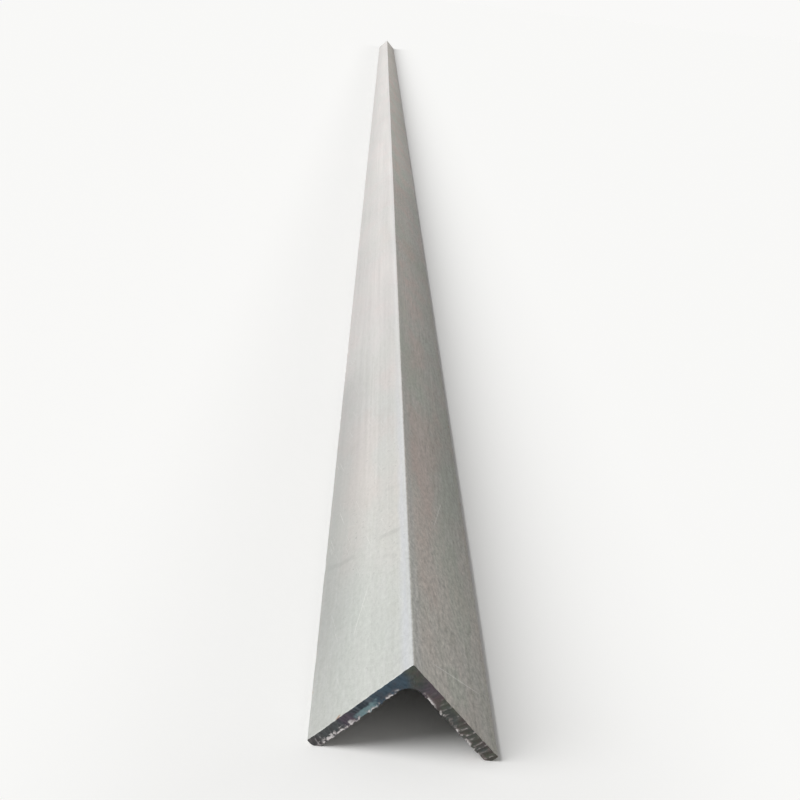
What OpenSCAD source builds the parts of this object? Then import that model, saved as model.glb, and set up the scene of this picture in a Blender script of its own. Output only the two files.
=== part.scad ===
// Hot-rolled steel angle, a bar of L section cut square at both ends.
//
// The bar lies the way it is stacked: heel up, on its two toes, running along Y.
// X is across the bar, and Z is up from the floor. The origin is on the floor,
// under the middle of the bar.

/* [Section] */
// Outside width of the left leg, from heel to toe
left_leg = 50; // [30:1:90]
// Outside width of the right leg, from heel to toe
right_leg = 50; // [30:1:90]
// Thickness of both legs
thickness = 5; // [4:0.5:8]
// Radius of the root fillet, where the legs meet on the inside
root_r = 7; // [3:0.5:12]
// Radius that rounds off the inner edge of each toe
toe_r = 3.5; // [1:0.25:4]
// Radius that the rolls leave on the heel, the outside corner
heel_r = 0.8; // [0.2:0.1:2]

/* [Bar] */
// Length between the two cut ends
length = 6000; // [500:100:12000]

/* [Hidden] */

arc_fn = 96;

// The toes' round edges carry the bar. Their centres, on the heel's own axes,
// lie one toe radius in from the end and from the inner face of each leg.
toe_depth = thickness - toe_r;
right_toe = [right_leg - toe_r, toe_depth];
left_toe = [toe_depth, left_leg - toe_r];

// Angle that brings the two toes to the same height, 45 degrees for equal legs
lie_angle = atan2(left_toe.y - right_toe.y, right_toe.x - left_toe.x);

// Height of the sharp heel corner when both toes touch the floor
heel_height = toe_r + right_toe.x * sin(lie_angle) + right_toe.y * cos(lie_angle);

// Reach of each leg's outer toe corner to its side of the heel
right_reach = right_leg * cos(lie_angle);
left_reach = left_leg * sin(lie_angle);

// Steel outside a rounded corner of radius r at the origin, for the corner
// whose sides run along +X and +Y
module corner_waste(r) {
    difference() {
        square(r);
        translate([r, r]) circle(r = r, $fn = arc_fn);
    }
}

// A flat leg of the section, lying along X with its outer face on Y = 0
module leg(width) {
    difference() {
        square([width, thickness]);
        translate([width, thickness]) rotate(180) corner_waste(toe_r);
    }
}

// The rolled profile: heel at the origin, right leg along X, left leg along Y
module profile() {
    difference() {
        union() {
            leg(right_leg);
            mirror([1, -1]) leg(left_leg);
            translate([thickness, thickness]) corner_waste(root_r);
        }
        corner_waste(heel_r);
    }
}

// The profile turned over onto its toes, centred on its own width, in X and Z
module lying_profile() {
    translate([(left_reach - right_reach) / 2, heel_height])
        mirror([0, 1])
            rotate(lie_angle)
                profile();
}

module angle_bar() {
    color([0.74, 0.74, 0.73])
        rotate([90, 0, 0])
            linear_extrude(height = length, center = true)
                lying_profile();
}

angle_bar();
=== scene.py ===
import math

import bpy
import numpy as np
from mathutils import Matrix, Vector


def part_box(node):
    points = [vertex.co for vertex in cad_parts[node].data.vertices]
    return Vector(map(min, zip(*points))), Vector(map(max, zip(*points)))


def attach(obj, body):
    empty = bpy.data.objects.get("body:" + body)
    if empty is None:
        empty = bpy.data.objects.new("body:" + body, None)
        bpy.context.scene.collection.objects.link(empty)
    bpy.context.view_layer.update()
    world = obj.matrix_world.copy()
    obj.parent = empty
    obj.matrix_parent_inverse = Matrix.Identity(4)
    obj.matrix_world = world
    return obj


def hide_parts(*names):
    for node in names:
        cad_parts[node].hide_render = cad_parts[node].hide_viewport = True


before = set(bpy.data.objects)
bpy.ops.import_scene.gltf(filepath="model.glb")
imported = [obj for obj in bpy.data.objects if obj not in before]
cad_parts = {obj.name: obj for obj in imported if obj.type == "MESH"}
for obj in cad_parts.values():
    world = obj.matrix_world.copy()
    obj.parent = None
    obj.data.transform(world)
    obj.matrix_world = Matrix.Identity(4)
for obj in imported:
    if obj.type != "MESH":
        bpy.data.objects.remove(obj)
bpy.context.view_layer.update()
barLow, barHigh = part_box("angle_bar")
nearEnd = barLow.y
farEnd = barHigh.y
barLength = farEnd - nearEnd
mm = 0.001
fullTurn = 2 * math.pi
print("frame loaded")


# Camera: close above the near end, looking down the length of the bar.

lookout = {
    "fromHeel": (-34.2 * mm, -384.1 * mm, 225.7 * mm),  # from the near end of the heel
    "aimAlong": 330 * mm,  # how far down the heel it aims
    "aimBelow": 10 * mm,
    "roll": 6.6,
    "lens": 55,
    "filmWidth": 36,
    "seesFrom": 10 * mm,
    "seesTo": 400,
}


def placeCamera():
    heel = Vector((0, nearEnd, barHigh.z))
    eye = heel + Vector(lookout["fromHeel"])
    aim = heel + Vector((0, lookout["aimAlong"], -lookout["aimBelow"]))
    data = bpy.data.cameras.new("camera")
    data.sensor_width = lookout["filmWidth"]
    data.lens = lookout["lens"]
    data.clip_start = lookout["seesFrom"]
    data.clip_end = lookout["seesTo"]
    camera = bpy.data.objects.new("camera", data)
    turned = (aim - eye).to_track_quat("-Z", "Y").to_matrix().to_4x4()
    roll = Matrix.Rotation(math.radians(lookout["roll"]), 4, "Z")
    camera.matrix_world = Matrix.Translation(eye) @ turned @ roll
    bpy.context.scene.collection.objects.link(camera)
    bpy.context.scene.camera = camera


placeCamera()
print("camera placed")


# A wire is one socket of a node tree. Sums on wires add Math nodes.

class Wire:
    def __init__(self, tree, socket=None):
        self.tree = tree
        self.socket = socket

    def node(self, kind, settings=None, inputs=None, out=0):
        made = self.tree.nodes.new(kind)
        for name, value in (settings or {}).items():
            setattr(made, name, value)
        for name, value in (inputs or {}).items():
            if isinstance(value, Wire):
                self.tree.links.new(value.socket, made.inputs[name])
            else:
                made.inputs[name].default_value = value
        return Wire(self.tree, made.outputs[out] if len(made.outputs) else None)

    def math(self, operation, first, second=0.0):
        return self.node("ShaderNodeMath", {"operation": operation}, {0: first, 1: second})

    def __add__(self, other):
        return self.math("ADD", self, other)

    def __radd__(self, other):
        return self.math("ADD", other, self)

    def __sub__(self, other):
        return self.math("SUBTRACT", self, other)

    def __rsub__(self, other):
        return self.math("SUBTRACT", other, self)

    def __mul__(self, other):
        return self.math("MULTIPLY", self, other)

    def __rmul__(self, other):
        return self.math("MULTIPLY", other, self)

    def lower(self, other):
        return self.math("MINIMUM", self, other)

    def higher(self, other):
        return self.math("MAXIMUM", self, other)

    def size(self):
        return self.math("ABSOLUTE", self)

    def rise(self, start, end):
        # 0 up to start, 1 from end, smooth between them
        settings = {"interpolation_type": "SMOOTHSTEP"}
        inputs = {"Value": self, "From Min": start, "From Max": end}
        return self.node("ShaderNodeMapRange", settings, inputs)

    def fall(self, start, end):
        return 1 - self.rise(start, end)

    def between(self, start, end, blur):
        return self.rise(start - blur, start + blur) * self.fall(end - blur, end + blur)

    def swing(self, amount):
        # A pattern of 0 to 1 becomes a swing to both sides of 0
        return (self - 0.5) * amount

    def stirred(self, other, share):
        return self * (1 - share) + other * share


def newMaterial(name):
    material = bpy.data.materials.new(name)
    material.use_nodes = True
    material.node_tree.nodes.clear()
    return material, Wire(material.node_tree)


def finishMaterial(tree, sockets):
    shader = tree.node("ShaderNodeBsdfPrincipled", None, sockets)
    tree.node("ShaderNodeOutputMaterial", None, {"Surface": shader})


def splitPlace(tree, place):
    made = tree.node("ShaderNodeSeparateXYZ", None, {0: place}).socket.node
    return [Wire(tree.tree, made.outputs[part]) for part in range(3)]


def joinPlace(tree, x, y, z):
    return tree.node("ShaderNodeCombineXYZ", None, {0: x, 1: y, 2: z})


def mixColour(tree, share, first, second, blend="MIX"):
    # first and second are wires or colours
    settings = {"data_type": "RGBA", "blend_type": blend}
    inputs = {0: share}
    for slot, value in ((6, first), (7, second)):
        inputs[slot] = value if isinstance(value, Wire) else (*value, 1)
    return tree.node("ShaderNodeMix", settings, inputs, out=2)


def paintOver(tree, colour, layers, blend="MIX"):
    # layers are shares and colours, the lowest first
    for share, paint in layers:
        colour = mixColour(tree, share, colour, paint, blend)
    return colour


def scaleColour(tree, colour, amount):
    return tree.node("ShaderNodeVectorMath", {"operation": "SCALE"}, {0: colour, 3: amount})


def grain(tree, place, scale, detail, rough):
    inputs = {"Vector": place, "Scale": scale, "Detail": detail, "Roughness": rough}
    return tree.node("ShaderNodeTexNoise", {"noise_dimensions": "3D"}, inputs)


def addSwings(patterns, amounts):
    return sum(patterns[name].swing(amount) for name, amount in amounts.items())


def roughen(tree, height, distance):
    return tree.node("ShaderNodeBump", None, {"Height": height, "Distance": distance, "Strength": 1.0})


# The bar's section, in the heel's own axes: u runs down the right leg, v down the left.

section = {
    "thickness": 5 * mm,
    "rootRadius": 7 * mm,
    "toeRadius": 3.5 * mm,
    "heelRadius": 0.8 * mm,
    "cornerRadius": 0.35 * mm,  # wear on the outer corner of each toe
}
slant = math.sqrt(0.5)  # both legs fall at 45 degrees
legWidth = (barHigh.x - barLow.x) * slant
sharpHeel = barHigh.z + (math.sqrt(2) - 1) * section["heelRadius"]  # the heel's height without its radius


def toPlace(u, v, along):
    # From the heel's axes and the distance from the near end to the frame's x, y and z
    x = (u - v) * slant
    z = sharpHeel - (u + v) * slant
    return np.stack((x, nearEnd + along, np.maximum(z, barLow.z)), -1)


def alongLegs(u, v):
    # How far out from the heel, above 0 on the right leg and below 0 on the left
    return np.where(u > v, u, -v)


def straight(start, end):
    start = np.array(start)
    end = np.array(end)
    way = (end - start) / np.linalg.norm(end - start)
    outward = np.array((-way[1], way[0]))

    def at(share):
        return start + (end - start) * share[:, None], np.tile(outward, (len(share), 1))

    return at


def arc(centre, radius, start, end, hollow=False):
    centre = np.array(centre)

    def at(share):
        angle = np.radians(start + (end - start) * share)
        ray = np.stack((np.cos(angle), np.sin(angle)), 1)
        return centre + radius * ray, -ray if hollow else ray

    return at


plainRing, closeRing, endRing = range(3)  # coarse, middle and fine
outsideStretches = 9  # then come the end of the left toe, the inside and the end of the right toe


def outlineStretches():
    # Each stretch has its shape and how many steps it takes in plain, close and end rings.
    a = legWidth
    t = section["thickness"]
    root = section["rootRadius"]
    toe = section["toeRadius"]
    heel = section["heelRadius"]
    corner = section["cornerRadius"]
    flatEnd = a - toe
    bend = t + root
    return [
        (arc((a - corner, corner), corner, 0, -90), (2, 2, 4)),
        (straight((a - corner, 0), (flatEnd, 0)), (1, 2, 8)),
        (straight((flatEnd, 0), (bend, 0)), (5, 10, 80)),
        (straight((bend, 0), (heel, 0)), (2, 4, 24)),
        (arc((heel, heel), heel, 270, 180), (4, 8, 8)),
        (straight((0, heel), (0, bend)), (2, 4, 24)),
        (straight((0, bend), (0, flatEnd)), (5, 10, 80)),
        (straight((0, flatEnd), (0, a - corner)), (1, 2, 8)),
        (arc((corner, a - corner), corner, 180, 90), (2, 2, 4)),
        (straight((corner, a), (t - toe, a)), (1, 2, 10)),
        (arc((t - toe, flatEnd), toe, 90, 0), (3, 6, 12)),
        (straight((t, flatEnd), (t, bend)), (5, 10, 80)),
        (arc((bend, bend), root, 180, 270, hollow=True), (7, 14, 56)),
        (straight((bend, t), (flatEnd, t)), (5, 10, 80)),
        (arc((flatEnd, t - toe), toe, 90, 0), (3, 6, 12)),
        (straight((a, t - toe), (a, corner)), (1, 2, 10)),
    ]


def smooth(value, start, end):
    share = np.clip((value - start) / (end - start), 0, 1)
    return share * share * (3 - 2 * share)


def ripple(seed, at, pitches):
    # Smooth unevenness between -1 and 1, the same on every run
    starts = np.random.default_rng(seed).uniform(0, fullTurn, len(pitches))
    waves = [np.sin(fullTurn * at / pitch + start) for pitch, start in zip(pitches, starts)]
    return sum(waves) / len(pitches)


# A texture map of the bar: four strips of skin above the two cut faces, finest near the ends.

skinMap = {
    "strips": 4,
    "inside": 0.46,  # how finely the inside is drawn against the outside
    "margin": 0.005,
    "cutHeight": 0.056,
    "cutDepth": 7.2 * mm,  # how much of the leg's depth that height holds
    "alongStops": [0, 0.10, 0.60, barLength - 0.06, barLength],
    "drawnStops": [0, 0.30, 0.92, 3.86, 4.0],  # strips drawn up to each of those distances
    "lengthSteps": 32,  # how closely a stretch of the outline is measured
}


def drawnAlong(along):
    return float(np.interp(along, skinMap["alongStops"], skinMap["drawnStops"]))


def skinPlace(drawn, across, strip):
    margin = skinMap["margin"]
    below = 2 * (skinMap["cutHeight"] + margin)
    height = (1 - below) / skinMap["strips"]
    x = margin + (drawn - strip) * (1 - 2 * margin)
    return x, below + height * strip + across * (height - margin)


def cutPlace(u, v, number):
    margin = skinMap["margin"]
    height = skinMap["cutHeight"]
    x = margin + (0.5 + (u - v) / (2 * legWidth)) * (1 - 2 * margin)
    y = margin / 2 + number * (height + margin) + np.minimum(u, v) / skinMap["cutDepth"] * height
    return np.stack((x, y), -1).tolist()


def outlineTable(level):
    # What every ring of one level shares: its points, and how far each is across the thickness and the map
    points = []
    normals = []
    steps = []
    across = [np.zeros(1)]
    for number, (shape, counts) in enumerate(outlineStretches()):
        count = counts[level]
        place, normal = shape(np.arange(count) / count)
        points.append(place)
        normals.append(normal)
        steps.append(count)
        measured = shape(np.linspace(0, 1, skinMap["lengthSteps"] + 1))[0]
        length = np.linalg.norm(np.diff(measured, axis=0), axis=1).sum()
        length = length * (1 if number < outsideStretches else skinMap["inside"])
        across.append(across[-1][-1] + length * (np.arange(count) + 1) / count)
    u, v = np.concatenate(points).T
    across = np.concatenate(across)
    leftEnd = steps[outsideStretches]
    rightEnd = steps[-1]
    share = [np.zeros(sum(steps[:outsideStretches])), np.arange(leftEnd) / leftEnd]
    share += [np.ones(sum(steps[outsideStretches + 1 : -1])), 1 - np.arange(rightEnd) / rightEnd]
    return {
        "u": u,
        "v": v,
        "normal": np.concatenate(normals),
        "share": np.concatenate(share),
        "steps": steps,
        "count": len(u),
        "across": (across / across[-1]).tolist(),
    }


outlines = [outlineTable(level) for level in (plainRing, closeRing, endRing)]


# The cut ends: ridges that the saw left across the thickness, a worn outer edge and a burr inside.

cut = {
    "zone": 5 * mm,  # how far from the end the cut shapes the bar
    "setBack": 0.25 * mm,  # the burr stands this far out of the face
    "ridgePitch": 2.6 * mm,
    "ridgeLean": 0.5,  # how many ridges further the inner edge is than the outer
    "ridgeDepth": 0.36 * mm,
    "ridgeBias": 0.55,  # 0 for even waves
    "ridgeStray": 0.45,  # how many ridges a row strays by
    "strayPitches": (6 * mm, 11 * mm, 17 * mm, 29 * mm),
    "rightGrowth": (8 * mm, 38 * mm),  # the ridges grow this far out from the heel
    "leftGrowth": (33 * mm, 44 * mm),
    "leftShare": 0.65,
    "patchiness": 0.28,
    "patchPitches": (5 * mm, 9 * mm, 17 * mm),
    "hatchPitch": 1.15 * mm,
    "hatchLean": 9 * mm,  # the depth over which the hatching moves on by a line
    "hatchDepth": 0.08 * mm,
    "unevenWay": (1.7, 2.3),  # the slant of the fine unevenness over the face
    "unevenPitches": (2.1 * mm, 3.7 * mm, 9.1 * mm),
    "edgeWear": 0.22 * mm,
    "edgeReach": 0.45 * mm,
    "edgeShare": 0.12,  # how much of the face the outer edge's wear takes
    "edgeBack": 0.5,  # how deep it goes along the bar, against across it
    "edgePitches": (3.1 * mm, 7 * mm, 16 * mm),
    "edgePatchiness": 0.45,
    "innerSpared": 0.6,  # how much less the inner edge is worn
    "toeSpared": (0.1 * mm, 2.5 * mm),  # from a toe, the wear grows from none to full here
    "notchDepth": 0.24 * mm,
    "notchReach": 1.6 * mm,
    "burrLean": 0.4 * mm,
    "burrReach": 0.9 * mm,
    "burrFrom": 0.78,  # where across the face the burr starts to rise
    "burrStart": (9 * mm, 14 * mm),
    "burrEnd": (41 * mm, 45 * mm),
    "burrLevel": 0.25,  # its mean height, as a share of its full one
    "burrRagged": 1.5,
    "burrPitches": (1.7 * mm, 2.9 * mm, 5.3 * mm, 11 * mm),
}
nearCut = {"at": 0, "inward": 1, "seed": 31, "mapRow": 0}
farCut = {"at": barLength, "inward": -1, "seed": 41, "mapRow": 1}


def ridgeCount(u, v, seed):
    # Ridges passed since the heel, and how strong they are there
    along = alongLegs(u, v)
    across = np.minimum(u, v) / section["thickness"]
    turns = along / cut["ridgePitch"] + across * cut["ridgeLean"]
    turns = turns + cut["ridgeStray"] * ripple(seed, along, cut["strayPitches"])
    growth = smooth(along, *cut["rightGrowth"]) + cut["leftShare"] * smooth(-along, *cut["leftGrowth"])
    patchy = 1 - cut["patchiness"] + cut["patchiness"] * ripple(seed + 1, along, cut["patchPitches"])
    return turns, growth * patchy


def ridgeShare(u, v, seed):
    # How deep the ridges are, as a share of their full depth
    turns, growth = ridgeCount(u, v, seed)
    turn = fullTurn * turns
    return (0.5 + 0.5 * np.sin(turn + cut["ridgeBias"] * np.sin(turn))) * growth


def hatchShare(u, v):
    lines = alongLegs(u, v) / cut["hatchPitch"] + np.minimum(u, v) / cut["hatchLean"]
    return 0.5 + 0.5 * np.sin(fullTurn * lines)


def burrHeight(u, v, seed):
    # Ragged lip along the inner edge, none at the toes or in the root
    along = alongLegs(u, v)
    ragged = ripple(seed + 2, along, cut["burrPitches"])
    out = np.abs(along)
    inPlace = smooth(out, *cut["burrStart"]) * (1 - smooth(out, *cut["burrEnd"]))
    return np.clip(cut["burrLevel"] + cut["burrRagged"] * ragged, 0, 1) * inPlace


def faceDepth(u, v, share, seed):
    # How far the cut face lies inside the end, share being 0 at the outer edge and 1 at the inner
    wayU, wayV = cut["unevenWay"]
    uneven = 0.5 + 0.5 * ripple(seed + 3, u * wayU + v * wayV + share * mm, cut["unevenPitches"])
    depth = cut["setBack"] + cut["ridgeDepth"] * ridgeShare(u, v, seed)
    depth = depth + cut["hatchDepth"] * (hatchShare(u, v) + uneven)
    depth = depth + cut["edgeWear"] * cut["edgeBack"] * (1 - smooth(share, 0, cut["edgeShare"]))
    lip = burrHeight(u, v, seed) * smooth(share, cut["burrFrom"], 1)
    return depth - lip * depth


def edgePush(u, v, share, fromEnd, seed):
    # How far the bar's edges stand out beside the cut: worn and notched outside, a burr inside
    def fade(reach):
        return max(0, 1 - fromEnd / cut[reach]) ** 2

    patchy = 1 - cut["edgePatchiness"] + cut["edgePatchiness"] * ripple(seed + 5, u - v, cut["edgePitches"])
    worn = cut["edgeWear"] * fade("edgeReach") * (1 - cut["innerSpared"] * share) * patchy
    notch = cut["notchDepth"] * ridgeShare(u, v, seed) * fade("notchReach") * (share == 0)
    worn = (worn + notch) * smooth(legWidth - np.maximum(u, v), *cut["toeSpared"])
    return cut["burrLean"] * burrHeight(u, v, seed) * fade("burrReach") * (share == 1) - worn


# Handling marks along the bar: dents on the heel and the toes, and edges that aren't quite even.

wear = {
    "uneven": {"heel": 0.02 * mm, "rightToe": 0.07 * mm, "leftToe": 0.07 * mm},
    "pitches": {
        "heel": (0.019, 0.047, 0.13),
        "rightToe": (0.023, 0.061, 0.17),
        "leftToe": (0.029, 0.071, 0.21),
    },
    "seed": {"heel": 23, "rightToe": 21, "leftToe": 22},
    "dentSeed": {"heel": 11, "rightToe": 12, "leftToe": 13},
    "dentStep": {"heel": 2, "rightToe": 1, "leftToe": 1},  # 2 keeps every second dent
    "heelReach": 3 * mm,
    "dents": 34,
    "dentDepth": (0.06 * mm, 0.30 * mm),
    "dentLength": (1.4 * mm, 5.5 * mm),
    "dentFree": 12 * mm,  # no dent is nearer to an end
    "nearShare": 0.35,  # share of the dents that lie in the first stretch
    "nearStretch": 0.6,
}


def makeDents(edge):
    random = np.random.default_rng(wear["dentSeed"][edge])
    dents = []
    for number in range(wear["dents"]):
        stretch = wear["nearStretch"] if number < wear["nearShare"] * wear["dents"] else barLength
        place = random.uniform(wear["dentFree"], stretch - wear["dentFree"])
        depth = random.uniform(*wear["dentDepth"])
        length = random.uniform(*wear["dentLength"])
        dents.append((place, depth, length))
    return dents[:: wear["dentStep"][edge]]


dentsAt = {edge: makeDents(edge) for edge in wear["dentSeed"]}


def edgePull(edge, along):
    # How far an edge lies inside its full size
    uneven = wear["uneven"][edge] * (1 + ripple(wear["seed"][edge], along, wear["pitches"][edge]))
    dents = sum(depth * math.exp(-((along - place) / length) ** 2) for place, depth, length in dentsAt[edge])
    return uneven + dents


def ringPlaces(along, level):
    table = outlines[level]
    u, v, share = table["u"], table["v"], table["share"]
    reach = np.maximum(u, v)
    right = u > v
    move = np.zeros((len(u), 2))
    atToe = smooth(reach, legWidth - section["toeRadius"], legWidth)
    move[:, 0] -= atToe * right * edgePull("rightToe", along)
    move[:, 1] -= atToe * ~right * edgePull("leftToe", along)
    atHeel = (1 - smooth(reach, 0, wear["heelReach"])) * (share == 0)
    move += (atHeel * edgePull("heel", along) * slant)[:, None]
    y = np.full(len(u), float(along))
    for end in (nearCut, farCut):
        fromEnd = abs(along - end["at"])
        if fromEnd < cut["zone"]:
            y += end["inward"] * faceDepth(u, v, share, end["seed"]) * (1 - fromEnd / cut["zone"])
            move += table["normal"] * edgePush(u, v, share, fromEnd, end["seed"])[:, None]
    return toPlace(u + move[:, 0], v + move[:, 1], y)


# The mesh: rings along the bar, joined into a skin, and a grid over each cut face.

rings = {
    "rim": [0, 0.06, 0.14, 0.26, 0.42, 0.65, 1.0, 1.5, 2.2, 3.2, 4.6],  # end rings, in mm from either end
    "closeFrom": 6.5 * mm,
    "closeTo": 60 * mm,
    "firstStep": 1.5 * mm,
    "closeStep": 2.5 * mm,
    "farRim": 6 * mm,
    "plainStep": 10 * mm,
    "dentSteps": (-1.6, -0.8, 0, 0.8, 1.6),  # rings over a dent, in dent lengths
    "leastStep": 0.6 * mm,
    "sharpFrom": 48,  # degrees between two faces from which their edge stays sharp
}


def ringStations():
    # Distances from the near end, each with the level of its ring
    nearStretch = wear["nearStretch"]
    farMiddle = barLength - rings["closeTo"]
    plain = list(np.arange(nearStretch, farMiddle, rings["plainStep"]))
    for dents in dentsAt.values():
        for place, _, length in dents:
            plain += [place + length * step for step in rings["dentSteps"]]
    plain = sorted(d for d in plain if nearStretch <= d < farMiddle)
    kept = plain[:1]
    for d in plain:
        if d - kept[-1] > rings["leastStep"]:
            kept.append(d)
    stations = [(d * mm, endRing) for d in rings["rim"]]
    stations += [(d, closeRing) for d in np.arange(rings["closeFrom"], rings["closeTo"], rings["firstStep"])]
    stations += [(d, closeRing) for d in np.arange(rings["closeTo"], nearStretch, rings["closeStep"])]
    stations += [(d, plainRing) for d in kept]
    farClose = np.arange(farMiddle, barLength - rings["farRim"], rings["closeStep"])
    stations += [(d, closeRing) for d in farClose]
    stations += [(barLength - d * mm, endRing) for d in reversed(rings["rim"])]
    return stations


def joinRings(near, far):
    # Faces between two rings, and where their corners lie on the map
    faces = []
    corners = []
    firsts = [0, 0]
    strip = math.floor((near["drawn"] + far["drawn"]) / 2)
    for steps in zip(near["steps"], far["steps"]):
        parts = min(steps)
        for part in range(parts):
            sides = []
            for ring, first, count in zip((near, far), firsts, steps):
                reached = [first + part * count // parts + i for i in range(count // parts + 1)]
                points = [ring["start"] + step % ring["count"] for step in reached]
                places = [skinPlace(ring["drawn"], ring["across"][step], strip) for step in reached]
                sides.append(list(zip(points, places)))
            joined = [sides[0][0], *sides[1], *reversed(sides[0][1:])]
            faces.append([corner[0] for corner in joined])
            corners.extend(corner[1] for corner in joined)
        firsts = [first + count for first, count in zip(firsts, steps)]
    return faces, corners


def capEnd(points, marks, ringStart, end):
    # The cut face, as a grid between the outer and the inner edge of the first or last ring
    table = outlines[endRing]
    steps = table["steps"]
    total = table["count"]
    columns = sum(steps[:outsideStretches])
    rows = steps[outsideStretches]
    outer = np.arange(columns + 1)
    inner = 2 * columns + rows - outer
    ring = np.zeros((rows + 1, columns + 1), int)
    ring[0] = outer
    ring[rows] = inner
    ring[:, columns] = columns + np.arange(rows + 1)
    ring[:, 0] = (total - np.arange(rows + 1)) % total
    grid = ring + ringStart
    gridU = table["u"][ring]
    gridV = table["v"][ring]
    rim = np.array(points[ringStart : ringStart + total])
    middle = slice(1, columns)
    for row in range(1, rows):
        share = row / rows
        for side, values in ((gridU, table["u"]), (gridV, table["v"])):
            side[row, middle] = values[outer[middle]] * (1 - share) + values[inner[middle]] * share
        rowU = gridU[row, middle]
        rowV = gridV[row, middle]
        depth = faceDepth(rowU, rowV, np.full(len(rowU), share), end["seed"])
        places = rim[outer[middle]] * (1 - share) + rim[inner[middle]] * share
        places[:, 1] = nearEnd + end["at"] + end["inward"] * depth
        grid[row, middle] = len(points) + np.arange(columns - 1)
        points.extend(places.tolist())
        marks.append(ridgeCount(rowU, rowV, end["seed"]))
    mapPlaces = cutPlace(gridU, gridV, end["mapRow"])
    faces = []
    corners = []
    for row in range(rows):
        for column in range(columns):
            around = [(row, column), (row, column + 1), (row + 1, column + 1), (row + 1, column)]
            around = around[:: end["inward"]]  # so that the face looks out of the bar
            faces.append([int(grid[place]) for place in around])
            corners.extend(mapPlaces[place[0]][place[1]] for place in around)
    return faces, corners


def buildBar():
    points = []
    marks = []
    placed = []
    for along, level in ringStations():
        table = outlines[level]
        end = nearCut if along < barLength / 2 else farCut
        placed.append({**table, "start": len(points), "drawn": drawnAlong(along)})
        points.extend(ringPlaces(along, level).tolist())
        marks.append(ridgeCount(table["u"], table["v"], end["seed"]))
    faces = []
    corners = []
    for near, far in zip(placed, placed[1:]):
        joined = joinRings(near, far)
        faces += joined[0]
        corners += joined[1]
    skinFaces = len(faces)
    for ring, end in ((placed[0], nearCut), (placed[-1], farCut)):
        capped = capEnd(points, marks, ring["start"], end)
        faces += capped[0]
        corners += capped[1]
    mesh = bpy.data.meshes.new("angle_bar_rolled")
    mesh.from_pydata(points, [], faces)
    kinds = np.zeros(len(mesh.polygons), int)
    kinds[skinFaces:] = 1
    mesh.polygons.foreach_set("material_index", kinds)
    mesh.polygons.foreach_set("use_smooth", np.ones(len(mesh.polygons), bool))
    mesh.uv_layers.new(name="OFBake").uv.foreach_set("vector", np.array(corners, np.float32).ravel())
    for name, part in (("ridge_count", 0), ("ridge_strength", 1)):
        values = np.concatenate([mark[part] for mark in marks])
        mesh.attributes.new(name, "FLOAT", "POINT").data.foreach_set("value", values)
    mesh.set_sharp_from_angle(angle=math.radians(rings["sharpFrom"]))
    mesh.update()
    bar = bpy.data.objects.new("angle_bar_rolled", mesh)
    bpy.context.scene.collection.objects.link(bar)
    return bar


bar = buildBar()
print("bar built:", len(bar.data.polygons), "faces")


# Finishes. Every pattern lies in the bar's own axes, so that it follows the legs.

def barAxes(tree):
    place = tree.node("ShaderNodeTexCoord", out="Object")
    x, y, z = splitPlace(tree, place)
    drop = sharpHeel - z
    u = (drop + x) * slant
    v = (drop - x) * slant
    return place, u, v, y - nearEnd


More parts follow.
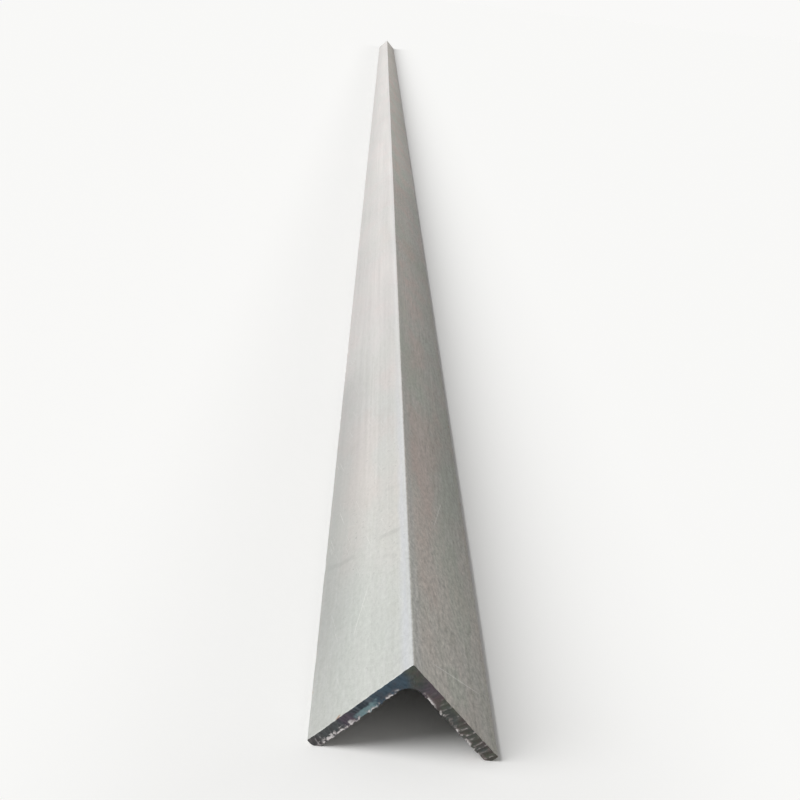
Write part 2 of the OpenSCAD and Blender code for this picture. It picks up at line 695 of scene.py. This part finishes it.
skin = {
    "warmGrey": (0.542, 0.524, 0.498),
    "coolGrey": (0.509, 0.522, 0.501),
    "roseGrey": (0.560, 0.535, 0.528),  # the left leg away from the near end
    # painted highlight: the pale band beside the heel
    "heelHighlightWhite": (0.570, 0.584, 0.590),
    "heelHighlightGrey": (0.550, 0.568, 0.608),
    # painted shade: the right leg, turned away from the light, is tinted darker and browner
    "rightPaintedShade": (0.905, 0.868, 0.830),  # the right leg is a little darker and browner
    "pinkCast": (1.075, 0.955, 0.945),
    "greenCast": (0.935, 1.0, 0.965),
    "brownStain": (0.36, 0.285, 0.25),
    "oliveStain": (0.42, 0.42, 0.32),
    "insideGrey": (0.30, 0.30, 0.29),
    # mill scale's dark grey, also used for painted shade
    "scale": (0.20, 0.205, 0.20),
    "rust": (0.30, 0.16, 0.09),
    "rubbed": (0.80, 0.79, 0.77),
    "scuff": (0.26, 0.26, 0.25),
    "specular": 0.25,
    "roughness": 0.54,
    "roughSwings": {"broad": 0.22, "patch": 0.16},
    "rustRougher": 0.3,
    "rubbedSmoother": 0.15,
    "metallic": 0.24,
    "rubbedMetal": 0.4,
    "heelMetal": 0.2,
    "bump": 0.00005,
    "bumpSwings": {"speck": 0.6, "dot": 1.0, "fine": 0.7},
    "scratchDepth": 1.2,

    # Patterns drawn out along the legs: fineness across and along, detail, roughness and shift
    "drawnGrains": {
        "broad": (150, 1.1, 3, 0.5, 0),
        "fine": (800, 5, 2, 0.5, 0),
        "line": (300, 2.4, 2, 0.6, 0),
        "patch": (26, 7, 3, 0.5, 0),
        "tint": (15, 4, 2, 0.5, 7),
        "mottle": (580, 240, 4, 0.62, 0),
        "smear": (420, 45, 2, 0.5, 0),
    },
    # Patterns that are alike in every direction: fineness, detail and roughness
    "evenGrains": {
        "speck": (1500, 2, 0.5),
        "dot": (620, 3, 0.6),
        "wobble": (90, 2, 0.5),
        "rusting": (130, 4, 0.65),
    },

    # Where the legs and their faces part
    "legBlend": 0.2 * mm,
    "outside": (0.9 * mm, 1.6 * mm),
    "inside": (4.2 * mm, 4.6 * mm),

    # How far each pattern lightens and darkens both legs, and the right one besides
    "tones": {
        "broad": (0.24, 0),
        "fine": (0.14, 0),
        "patch": (0.24, 0),
        "speck": (0.20, 0.20),
        "mottle": (0.26, 0.58),
        "smear": (0.12, 0.34),
        "line": (0.18, 0),
    },
    "boostNear": (40 * mm, 240 * mm),  # specks and mottle fade from their boost to plain here
    "boost": (0.5, 0.25),
    "linesFrom": (0.08, 0.40),

    # Greys and stains, again for both legs and for the right one besides
    "greyEdge": (0.36, 0.64),
    "roseFrom": (0.14, 0.40),
    "roseShare": 0.7,
    "stainSmear": 0.4,
    "brownEdge": (0.47, 0.62),
    "brownShare": (0.05, 0.17),
    "oliveEdge": (0.40, 0.50),
    "oliveShare": (0.07, 0.15),

    # The pink and green casts
    "castGrain": (46, 13, 5),  # fineness across and along, and how far it leans
    "castDetail": (3, 0.55),  # detail and roughness, as in the patterns above
    "castLevel": 0.35,
    "castGrows": (40 * mm, 320 * mm),
    "castEdge": (-0.02, 0.14),
    "castShare": (0.30, 0.60),
    "castLessFrom": (0.3, 0.6),  # further along, the left leg has a little less
    "castLess": 0.10,
    "castWobble": 1.6,
    "castRim": 1.3,

    # The pale band beside the heel: a painted highlight, weaker on the right leg
    "heelRagged": (4 * mm, 6 * mm),  # how far smears and patches push its edge
    "heelHighlight": (1.4 * mm, 7 * mm),
    "heelGreyFrom": (0.8 * mm, 3.4 * mm),
    "heelLessRight": 0.7,
    "heelFades": (0.14, 0.42),
    "heelFade": 0.8,
    "heelHighlightShare": 0.30,
    "heelStreaks": 0.9,

    # Painted light and shade down the legs and along them: where it changes, and by how much
    # painted light: the right leg is lighter beside the heel
    "rightPaintedLightByHeel": (2 * mm, 32 * mm),
    "rightPaintedLightByHeelTone": 0.10,
    # painted shade: the right leg grows darker along the bar, most towards the toe, and darker still over a
    # stretch
    "rightPaintedShadeAlong": (60 * mm, 320 * mm),
    "rightPaintedShadeAlongTone": 0.04,
    "toeHalf": (18 * mm, 50 * mm),
    "toeHalfPaintedShadeTone": 0.12,
    "rightPaintedShadeStretch": (0.16, 1.25, 0.10),  # from, to and blur
    "rightPaintedShadeStretchTone": 0.16,
    # painted sheen: both legs grow lighter further from the near end
    "rightPaintedSheenFar": (1.5, 4),
    "rightPaintedSheenFarTone": 0.10,
    "leftPaintedSheenFar": (0.3, 1.5),
    "leftPaintedSheenFarTone": 0.05,

    # Dirt, pits, painted shade and rust
    "pitEdge": (0.29, 0.37),
    "pitPatches": (0.35, 0.6),
    "pitShare": 0.5,
    # painted shade: a faint dark line on the heel's shaded side
    "heelPaintedShadeLineAt": 2.2 * mm,  # a faint dark line beside the heel, on the right leg
    "heelPaintedShadeLineEdge": (0.6 * mm, 1.6 * mm),
    "heelPaintedShadeLineShare": 0.08,
    # dirt and painted shade: the legs darken towards the toes, the left one more over a stretch near the end
    "toeDirtAndShade": 0.22,
    "toeDirtAndShadeStreaks": 0.4,
    "dirtAndShadeStretch": (45 * mm, 430 * mm, 45 * mm),
    "dirtAndShadeStretchShare": 0.24,
    "rustEdge": (0.72, 0.86),
    "rustShare": 0.8,
    "rustEnd": 5 * mm,  # it rusts more up to here from an end, at the toes and inside
    "rustEndMore": 0.16,
    "rustToe": (47 * mm, 50 * mm),
    "rustToeMore": 0.12,
    "rustInsideMore": 0.12,

    # Scratches, scuffs and hairlines
    "taper": (0.2, 0.75),  # a mark grows up to the first share of its run, and fades from the second
    "core": 0.3,  # how much of its width has its full strength
    "wobble": 2,  # how many widths it strays by
    "hairWays": ((2100, 420), (12, 26)),  # fineness across the bar and along it, over and down a hairline
    "hairDetail": (1, 0.5),
    "hairEdge": (0.71, 0.76),
    "hairShare": 0.35,
    "scratches": [
        # leg, start and end as (along, from the heel), width, how strong
        ("right", (14 * mm, 7 * mm), (36 * mm, 47 * mm), 0.30 * mm, 0.6),
        ("right", (150 * mm, 20 * mm), (205 * mm, 31 * mm), 0.25 * mm, 0.4),
        ("left", (52 * mm, 30 * mm), (92 * mm, 22 * mm), 0.25 * mm, 0.4),
    ],
    "scuffs": [
        ("left", (122 * mm, 3 * mm), (130 * mm, 18 * mm), 2.6 * mm, 0.22),
        ("left", (129 * mm, 30 * mm), (138 * mm, 50 * mm), 2.8 * mm, 0.22),
        ("left", (96 * mm, 6 * mm), (110 * mm, 15 * mm), 2.4 * mm, 0.12),
        ("left", (172 * mm, 3 * mm), (182 * mm, 14 * mm), 2.4 * mm, 0.12),
        ("right", (49 * mm, 2 * mm), (56 * mm, 8 * mm), 2.2 * mm, 0.30),
    ],
    "casts": [
        # leg, middle and half size as (along, from the heel), pink above 0 and green below
        ("right", (95 * mm, 13 * mm), (42 * mm, 9 * mm), 0.11),
        ("right", (225 * mm, 20 * mm), (70 * mm, 12 * mm), 0.12),
        ("right", (30 * mm, 9 * mm), (26 * mm, 8 * mm), 0.06),
        ("right", (112 * mm, 35 * mm), (48 * mm, 10 * mm), -0.10),
        ("right", (20 * mm, 27 * mm), (16 * mm, 7 * mm), -0.12),
        ("right", (250 * mm, 40 * mm), (60 * mm, 7 * mm), -0.10),
        ("left", (262 * mm, 22 * mm), (80 * mm, 18 * mm), 0.12),
        ("left", (60 * mm, 20 * mm), (60 * mm, 22 * mm), -0.06),
        ("left", (170 * mm, 43 * mm), (42 * mm, 7 * mm), -0.10),
    ],
}


def strokes(marks, along, fromHeel, legs, wobble):
    # The strongest of a list of straight marks on the outer faces
    total = None
    taperIn, taperOut = skin["taper"]
    for leg, start, end, width, strength in marks:
        run = math.hypot(end[0] - start[0], end[1] - start[1])
        wayX = (end[0] - start[0]) / run
        wayY = (end[1] - start[1]) / run
        dx = along - start[0]
        dy = fromHeel - start[1]
        forward = dx * wayX + dy * wayY
        aside = (dy * wayX - dx * wayY + wobble * (width * skin["wobble"])).size()
        taper = forward.rise(0, run * taperIn) * forward.fall(run * taperOut, run)
        mark = aside.fall(width * skin["core"], width) * taper * strength * legs[leg]
        total = mark if total is None else total.higher(mark)
    return total


def placedCasts(along, fromHeel, legs, wobble):
    # Soft patches of the two casts, added up
    total = 0
    for leg, middle, half, strength in skin["casts"]:
        dx = (along - middle[0]) * (1 / half[0])
        dy = (fromHeel - middle[1]) * (1 / half[1])
        patch = (dx * dx + dy * dy + wobble * skin["castWobble"]).fall(0, skin["castRim"])
        total = total + patch * strength * legs[leg]
    return total


def makeSkin():
    material, tree = newMaterial("rolled steel skin")
    place, u, v, along = barAxes(tree)
    fromHeel = u.higher(v)
    depth = u.lower(v)
    right = (u - v).rise(-skin["legBlend"], skin["legBlend"])
    left = 1 - right
    legs = {"left": left, "right": right}
    outside = depth.fall(*skin["outside"])
    inside = depth.rise(*skin["inside"])

    def onLegs(both, besides):
        # An amount for both legs, and what the right one has besides
        return both + right * besides if besides else both

    def drawnGrain(across, lengthwise, detail, rough, shift):
        legPlace = joinPlace(tree, u * across + shift, along * lengthwise, v * across)
        return grain(tree, legPlace, 1, detail, rough)

    drawn = {name: drawnGrain(*values) for name, values in skin["drawnGrains"].items()}
    even = {name: grain(tree, place, *values) for name, values in skin["evenGrains"].items()}
    patterns = {**drawn, **even}
    broad, patch, tint, smear, dot = (patterns[name] for name in ("broad", "patch", "tint", "smear", "dot"))
    stray = patterns["wobble"] - 0.5

    # Tone, with painted light, shade and sheen on the legs
    boost = 1 + along.fall(*skin["boostNear"]) * onLegs(*skin["boost"])
    grows = {"speck": boost, "mottle": boost, "line": along.rise(*skin["linesFrom"])}
    tone = 1
    for name, amounts in skin["tones"].items():
        swing = patterns[name].swing(onLegs(*amounts))
        tone = tone + (swing * grows[name] if name in grows else swing)
    # Painted light: the right leg is lighter beside the heel.
    paintedLightByHeel = fromHeel.fall(*skin["rightPaintedLightByHeel"]) * skin["rightPaintedLightByHeelTone"]
    towardsToe = fromHeel.rise(*skin["toeHalf"])
    # Painted shade: the right leg grows darker along the bar, most towards the toe, and more over a stretch.
    darker = along.rise(*skin["rightPaintedShadeAlong"]) * (skin["rightPaintedShadeAlongTone"] + towardsToe * skin["toeHalfPaintedShadeTone"])
    darker = darker + along.between(*skin["rightPaintedShadeStretch"]) * skin["rightPaintedShadeStretchTone"]
    # Painted sheen: both legs are lighter further from the near end.
    tone = tone + right * (paintedLightByHeel - darker + along.rise(*skin["rightPaintedSheenFar"]) * skin["rightPaintedSheenFarTone"])
    tone = tone + left * along.rise(*skin["leftPaintedSheenFar"]) * skin["leftPaintedSheenFarTone"]

    # Greys and stains
    colour = mixColour(tree, tint.rise(*skin["greyEdge"]), skin["coolGrey"], skin["warmGrey"])
    rose = left * along.rise(*skin["roseFrom"]) * skin["roseShare"]
    brown = patch.stirred(smear, skin["stainSmear"]).rise(*skin["brownEdge"]) * onLegs(*skin["brownShare"])
    olive = tint.stirred(smear, skin["stainSmear"]).fall(*skin["oliveEdge"]) * onLegs(*skin["oliveShare"])
    stains = [(rose, skin["roseGrey"]), (brown, skin["brownStain"]), (olive, skin["oliveStain"])]
    colour = paintOver(tree, colour, stains)

    # Casts
    across, lengthwise, lean = skin["castGrain"]
    leaning = along * lean
    castPlace = joinPlace(tree, u * across - leaning, along * lengthwise, v * across - leaning)
    castGrows = skin["castLevel"] + along.rise(*skin["castGrows"]) * (1 - skin["castLevel"])
    cast = grain(tree, castPlace, 1, *skin["castDetail"]).swing(castGrows)
    cast = cast + placedCasts(along, fromHeel, legs, smear - 0.5)
    castShare = onLegs(*skin["castShare"]) - left * along.rise(*skin["castLessFrom"]) * skin["castLess"]
    castStart, castFull = skin["castEdge"]
    pink = cast.rise(castStart, castFull) * castShare
    green = cast.fall(-castFull, -castStart) * castShare
    # The right leg's tint is painted shade.
    tints = [(right, skin["rightPaintedShade"]), (pink, skin["pinkCast"]), (green, skin["greenCast"])]
    colour = paintOver(tree, colour, tints, "MULTIPLY")

    # Heel: a painted highlight in a pale band beside it
    smearRagged, patchRagged = skin["heelRagged"]
    heelEdge = fromHeel + smear.swing(smearRagged) + patch.swing(patchRagged)
    heelFades = 1 - along.rise(*skin["heelFades"]) * skin["heelFade"]
    heelHighlight = heelEdge.fall(*skin["heelHighlight"]) * (1 - right * skin["heelLessRight"]) * heelFades
    heelHighlightColour = mixColour(tree, heelEdge.rise(*skin["heelGreyFrom"]), skin["heelHighlightWhite"], skin["heelHighlightGrey"])
    heelHighlightShare = heelHighlight * (skin["heelHighlightShare"] + broad * skin["heelStreaks"])
    colour = scaleColour(tree, mixColour(tree, heelHighlightShare, colour, heelHighlightColour), tone)

    # Dirt, pits and painted shade
    pits = dot.fall(*skin["pitEdge"]) * patch.rise(*skin["pitPatches"]) * skin["pitShare"] * outside
    # Painted shade: a faint dark line beside the heel on the right leg.
    heelPaintedShadeLine = (fromHeel - skin["heelPaintedShadeLineAt"]).size().fall(*skin["heelPaintedShadeLineEdge"]) * right * skin["heelPaintedShadeLineShare"]
    # Dirt and painted shade towards the toes, more over a stretch of the left leg.
    dirtAndShadeStretch = along.between(*skin["dirtAndShadeStretch"]) * left * skin["dirtAndShadeStretchShare"]
    toeDirtAndShade = towardsToe * (skin["toeDirtAndShade"] + dirtAndShadeStretch + broad.swing(skin["toeDirtAndShadeStreaks"]))

    # Marks
    scratch = strokes(skin["scratches"], along, fromHeel, legs, stray) * outside
    scuff = strokes(skin["scuffs"], along, fromHeel, legs, stray) * outside
    hairPlace = [(u - v) * across + along * lengthwise for across, lengthwise in skin["hairWays"]]
    hair = grain(tree, joinPlace(tree, *hairPlace, 0), 1, *skin["hairDetail"])
    rubbed = scratch.higher(hair.rise(*skin["hairEdge"]) * outside * skin["hairShare"])

    # Rust
    rustier = along.lower(barLength - along).fall(0, skin["rustEnd"]) * skin["rustEndMore"]
    rustier = rustier + fromHeel.rise(*skin["rustToe"]) * skin["rustToeMore"]
    rustier = rustier + inside * skin["rustInsideMore"]
    rust = (patterns["rusting"] + rustier).rise(*skin["rustEdge"])

    colour = paintOver(tree, colour, [
        (pits, skin["scale"]),
        # painted shade beside the heel, and dirt with painted shade towards the toes, in the scale's dark
        # grey
        (heelPaintedShadeLine, skin["scale"]),
        (toeDirtAndShade, skin["scale"]),
        (inside, scaleColour(tree, skin["insideGrey"], tone)),
        (rubbed, skin["rubbed"]),
        (scuff, skin["scuff"]),
        (rust * skin["rustShare"], skin["rust"]),
    ])
    rough = skin["roughness"] + addSwings(patterns, skin["roughSwings"])
    rough = rough + rust * skin["rustRougher"] - rubbed * skin["rubbedSmoother"]
    metal = skin["metallic"] * (1 - rust) + rubbed * skin["rubbedMetal"] + heelHighlight * skin["heelMetal"]
    height = addSwings(patterns, skin["bumpSwings"]) - scratch * skin["scratchDepth"]
    finishMaterial(tree, {
        "Base Color": colour,
        "Roughness": rough,
        "Metallic": metal,
        "Normal": roughen(tree, height, skin["bump"]),
        "Specular IOR Level": skin["specular"],
    })
    return material


cutFace = {
    "blueBlack": (0.030, 0.042, 0.054),
    "slate": (0.085, 0.100, 0.115),
    "steelBlue": (0.042, 0.078, 0.112),
    "paleBlue": (0.20, 0.31, 0.33),
    "plum": (0.092, 0.066, 0.090),
    "ironGrey": (0.062, 0.070, 0.070),
    "olive": (0.075, 0.084, 0.064),
    "ash": (0.30, 0.245, 0.24),
    # painted highlight on the ridges' crests and the burr's lip
    "paintedHighlight": (0.66, 0.63, 0.63),
    "brown": (0.095, 0.062, 0.060),
    "orange": (0.38, 0.19, 0.10),
    "roughness": 0.44,
    "roughSwings": {"striped": 0.3},
    "brownRougher": 0.25,
    "brightSmoother": 0.14,
    "metallic": 0.60,
    "brownMetal": -0.4,
    "brightMetal": 0.2,
    "bump": 0.00012,
    "bumpSwings": {"striped": 1.0, "speck": 0.6, "torn": 0.9},

    # Patterns: fineness, detail and roughness
    "evenGrains": {
        "cloud": (150, 3, 0.6),
        "speck": (1300, 2, 0.5),
        "torn": (620, 2, 0.6),
        "rusting": (105, 4, 0.65),
    },
    "stripes": (820, 300, 150, 9),  # fineness out from the heel, lean, fineness inwards, right leg's shift
    "stripesDetail": (3, 0.5),
    "level": 0.45,  # lightness where no speck or stripe adds to it
    "specksAdd": 0.55,
    "stripesAdd": 0.55,

    # Heat tints and scale: where they lie out from the heel (from, to and blur), and how strong they are
    "legBlend": 3 * mm,
    "cloudDrift": 12 * mm,
    "tornDrift": 3 * mm,
    "farFace": (1, 2),  # the far face lies beyond these distances, the near one before them
    "farDrift": 6 * mm,  # how much further out the tints lie there
    "slateCloud": 0.4,
    "slateEdge": (0.40, 0.62),
    "blueOut": (5 * mm, 21 * mm, 2.5 * mm),
    "blueShare": (0.2, 0.9),
    "ironFrom": (34 * mm, 38 * mm),
    "ironShare": 0.75,
    "paleOut": (20 * mm, 29 * mm, 1.5 * mm),
    "paleTorn": 2 * mm,
    "paleDepth": (2.2 * mm, 3.2 * mm),
    "paleShare": 0.8,
    "oliveByHeel": (2 * mm, 7 * mm),
    "oliveEdge": (0.35, 0.6),
    "oliveShare": (0.5, 0.45),
    "plumOutLeft": (29 * mm, 36 * mm, 2 * mm),
    "plumOutRight": (8 * mm, 18 * mm, 2.5 * mm),
    "plumShare": (0.15, 1.1),

    # Rust
    "brownRidges": 0.08,
    "brownEdge": (0.5, 0.66),
    "brownShare": (0.2, 0.3),
    "orangeEdge": (0.66, 0.74),
    "orangeShare": 0.6,

    # The ridges, from valley to crest: painted shade in the valleys and painted highlights on the crests
    "ridgeTorn": 0.5,
    "valleyPaintedShade": (0.10, 0.55),
    "valleyShare": 0.38,
    "ridge": (0.40, 0.90),
    "ridgeTornEdge": (0.35, 0.60),
    "ridgeLeast": 0.2,
    "ridgeShare": 0.42,
    "crestHighlight": (0.70, 0.97),
    "shineTornEdge": (0.50, 0.64),
    "shineShare": 0.50,

    # The inner edge: ash, and painted highlights on the burr's lip and in specks by the left toe
    "innerDepth": (3.0 * mm, 4.8 * mm),
    "innerFrom": (8 * mm, 13 * mm),
    "innerEdge": (0.86, 1.12),
    "innerShare": 0.45,
    "burrOut": (11 * mm, 45 * mm, 2 * mm),
    "burrDepth": (3.9 * mm, 4.8 * mm),
    "burrCloud": 0.4,
    "burrEdge": (0.47, 0.58),
    "specksOut": (33 * mm, 47 * mm, 1.5 * mm),
    "specksDepth": (2.8 * mm, 3.8 * mm),
    "specksFine": 0.3,
    "specksEdge": (0.46, 0.56),
    "lipHighlightShare": 0.9,
}


def makeCutFace():
    material, tree = newMaterial("cut steel face")
    place, u, v, along = barAxes(tree)
    right = (u - v).rise(-cutFace["legBlend"], cutFace["legBlend"])
    left = 1 - right
    fromHeel = u.higher(v)
    depth = u.lower(v)
    turns = tree.node("ShaderNodeAttribute", {"attribute_name": "ridge_count"}, out="Fac")
    strength = tree.node("ShaderNodeAttribute", {"attribute_name": "ridge_strength"}, out="Fac")

    def streaked(least, more):
        return least + striped * more

    patterns = {name: grain(tree, place, *values) for name, values in cutFace["evenGrains"].items()}
    cloud, speck, torn, rusting = patterns.values()
    out, lean, inwards, shift = cutFace["stripes"]
    stripePlace = joinPlace(tree, fromHeel * out + depth * lean, depth * inwards, right * shift)
    striped = grain(tree, stripePlace, 1, *cutFace["stripesDetail"])
    patterns["striped"] = striped

    # Heat tints and scale, each along its own stretch of the leg
    drift = fromHeel + cloud.swing(cutFace["cloudDrift"]) + torn.swing(cutFace["tornDrift"])
    drift = drift - along.rise(*cutFace["farFace"]) * cutFace["farDrift"]
    slate = striped.stirred(cloud, cutFace["slateCloud"]).rise(*cutFace["slateEdge"])
    blue = drift.between(*cutFace["blueOut"]) * left * streaked(*cutFace["blueShare"])
    iron = drift.rise(*cutFace["ironFrom"]) * left * cutFace["ironShare"]
    pale = drift.between(*cutFace["paleOut"]) * left * cutFace["paleShare"]
    pale = pale * (depth + torn.swing(cutFace["paleTorn"])).rise(*cutFace["paleDepth"])
    oliveLeast, oliveMore = cutFace["oliveShare"]
    olive = right.higher(fromHeel.fall(*cutFace["oliveByHeel"]))
    olive = olive * (oliveLeast + cloud.rise(*cutFace["oliveEdge"]) * oliveMore)
    plumLeft = drift.between(*cutFace["plumOutLeft"]) * left
    plumRight = drift.between(*cutFace["plumOutRight"]) * right
    plum = plumLeft.higher(plumRight) * streaked(*cutFace["plumShare"])

    # Rust
    brownLeast, brownRight = cutFace["brownShare"]
    brown = (rusting + strength * cutFace["brownRidges"]).rise(*cutFace["brownEdge"])
    brown = brown * (brownLeast + right * brownRight)
    orange = rusting.rise(*cutFace["orangeEdge"]) * cutFace["orangeShare"]

    # Ridges, with painted shade in the valleys and painted highlights on the crests
    turn = (turns + torn.swing(cutFace["ridgeTorn"])) * fullTurn
    crest = 0.5 - tree.math("SINE", turn + tree.math("SINE", turn) * cut["ridgeBias"]) * 0.5
    valleyPaintedShade = crest.fall(*cutFace["valleyPaintedShade"]) * strength
    tornRidge = torn.rise(*cutFace["ridgeTornEdge"]) * (1 - cutFace["ridgeLeast"])
    ridge = crest.rise(*cutFace["ridge"]) * strength * (cutFace["ridgeLeast"] + tornRidge)
    crestHighlight = crest.rise(*cutFace["crestHighlight"]) * strength * torn.rise(*cutFace["shineTornEdge"])

    # Inner edge: ash, and painted highlights on the burr's lip and in specks by the left toe
    inner = depth.rise(*cutFace["innerDepth"]) * fromHeel.rise(*cutFace["innerFrom"])
    inner = inner * (torn + cloud).rise(*cutFace["innerEdge"])
    burr = fromHeel.between(*cutFace["burrOut"]) * depth.rise(*cutFace["burrDepth"])
    burr = burr * torn.stirred(cloud, cutFace["burrCloud"]).rise(*cutFace["burrEdge"])
    specks = drift.between(*cutFace["specksOut"]) * depth.rise(*cutFace["specksDepth"]) * left
    specks = specks * torn.stirred(speck, cutFace["specksFine"]).rise(*cutFace["specksEdge"])
    # Painted highlights on the burr's lip and in the specks.
    lip = burr.higher(specks)

    colour = mixColour(tree, slate, cutFace["blueBlack"], cutFace["slate"])
    colour = paintOver(tree, colour, [
        (blue, cutFace["steelBlue"]),
        (iron, cutFace["ironGrey"]),
        (pale, cutFace["paleBlue"]),
        (olive, cutFace["olive"]),
        (plum, cutFace["plum"]),
        (brown, cutFace["brown"]),
        # Painted shade in the ridge valleys.
        (valleyPaintedShade * cutFace["valleyShare"], cutFace["brown"]),
        (ridge * cutFace["ridgeShare"], cutFace["ash"]),
        # Painted highlights on the ridge crests.
        (crestHighlight * cutFace["shineShare"], cutFace["paintedHighlight"]),
        (inner * cutFace["innerShare"], cutFace["ash"]),
        (orange, cutFace["orange"]),
        # Painted highlights on the burr's lip and the specks.
        (lip * cutFace["lipHighlightShare"], cutFace["paintedHighlight"]),
    ])
    lightness = cutFace["level"] + speck * cutFace["specksAdd"] + striped * cutFace["stripesAdd"]
    # The painted highlights, also made smoother and more metallic.
    paintedHighlight = crestHighlight.higher(lip)
    rough = cutFace["roughness"] + addSwings(patterns, cutFace["roughSwings"])
    rough = rough + brown * cutFace["brownRougher"] - paintedHighlight * cutFace["brightSmoother"]
    finishMaterial(tree, {
        "Base Color": scaleColour(tree, colour, lightness),
        "Roughness": rough,
        "Metallic": cutFace["metallic"] + brown * cutFace["brownMetal"] + paintedHighlight * cutFace["brightMetal"],
        "Normal": roughen(tree, addSwings(patterns, cutFace["bumpSwings"]), cutFace["bump"]),
    })
    return material


bar.data.materials.append(makeSkin())
bar.data.materials.append(makeCutFace())
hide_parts("angle_bar")
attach(bar, "root")
print("finishes made")


# The room: a pale floor under a soft light from the upper left.

room = {
    "floor": (0.80, 0.80, 0.79),
    "floorSeen": (1.0, 1.0, 0.99),
    "floorSize": 700,
    "floorGlow": 0.08,  # lifts the floor to the air's white, for the camera alone
    # painted shade: the floor's glow fades to none towards the bar, darkening the floor round it
    "paintedShadeReach": 120 * mm,  # how far from the bar the floor has its full glow
    "air": (1.0, 0.995, 0.985),
    "airLight": 0.30,
    "airSeen": 0.95,
    "lampLight": 2.85,
    "lampSpread": 38,
    "lampFrom": (-0.77, -0.15, 0.62),
}


def isSeen(tree):
    # 1 for what the camera sees, straight or in a reflection, and 0 for what lights the bar
    kinds = ("Is Camera Ray", "Is Glossy Ray", "Is Transmission Ray")
    camera, glossy, through = (tree.node("ShaderNodeLightPath", out=kind) for kind in kinds)
    return camera.higher(glossy).higher(through)


def makeFloor():
    half = room["floorSize"] / 2
    mesh = bpy.data.meshes.new("floor")
    corners = [(-half, -half, 0), (half, -half, 0), (half, half, 0), (-half, half, 0)]
    mesh.from_pydata(corners, [], [(0, 1, 2, 3)])
    floor = bpy.data.objects.new("floor", mesh)
    bpy.context.scene.collection.objects.link(floor)
    material, tree = newMaterial("pale floor")
    seen = isSeen(tree)
    x, y = splitPlace(tree, tree.node("ShaderNodeTexCoord", out="Object"))[:2]
    # Painted shade: the glow fades towards the bar, so the floor is darker round it.
    away = (x.size() - barHigh.x).higher(y.size() - farEnd).rise(0, room["paintedShadeReach"])
    finishMaterial(tree, {
        "Base Color": mixColour(tree, seen, room["floor"], room["floorSeen"]),
        "Emission Color": scaleColour(tree, room["floorSeen"], seen * away * room["floorGlow"]),
        "Emission Strength": 1,
        "Roughness": 1,
        "Specular IOR Level": 0,
    })
    mesh.materials.append(material)


def lightRoom():
    world = bpy.data.worlds.new("air")
    world.use_nodes = True
    world.node_tree.nodes.clear()
    tree = Wire(world.node_tree)
    shares = {0: isSeen(tree), 2: room["airLight"], 3: room["airSeen"]}
    strength = tree.node("ShaderNodeMix", {"data_type": "FLOAT"}, shares)
    air = tree.node("ShaderNodeBackground", None, {"Color": (*room["air"], 1), "Strength": strength})
    tree.node("ShaderNodeOutputWorld", None, {"Surface": air})
    bpy.context.scene.world = world

    data = bpy.data.lights.new("lamp", "SUN")
    data.energy = room["lampLight"]
    data.angle = math.radians(room["lampSpread"])
    lamp = bpy.data.objects.new("lamp", data)
    lamp.rotation_mode = "QUATERNION"
    lamp.rotation_quaternion = Vector(room["lampFrom"]).to_track_quat("Z", "Y")
    bpy.context.scene.collection.objects.link(lamp)


makeFloor()
lightRoom()
bpy.context.scene.view_settings.view_transform = "Standard"
print("room lit")
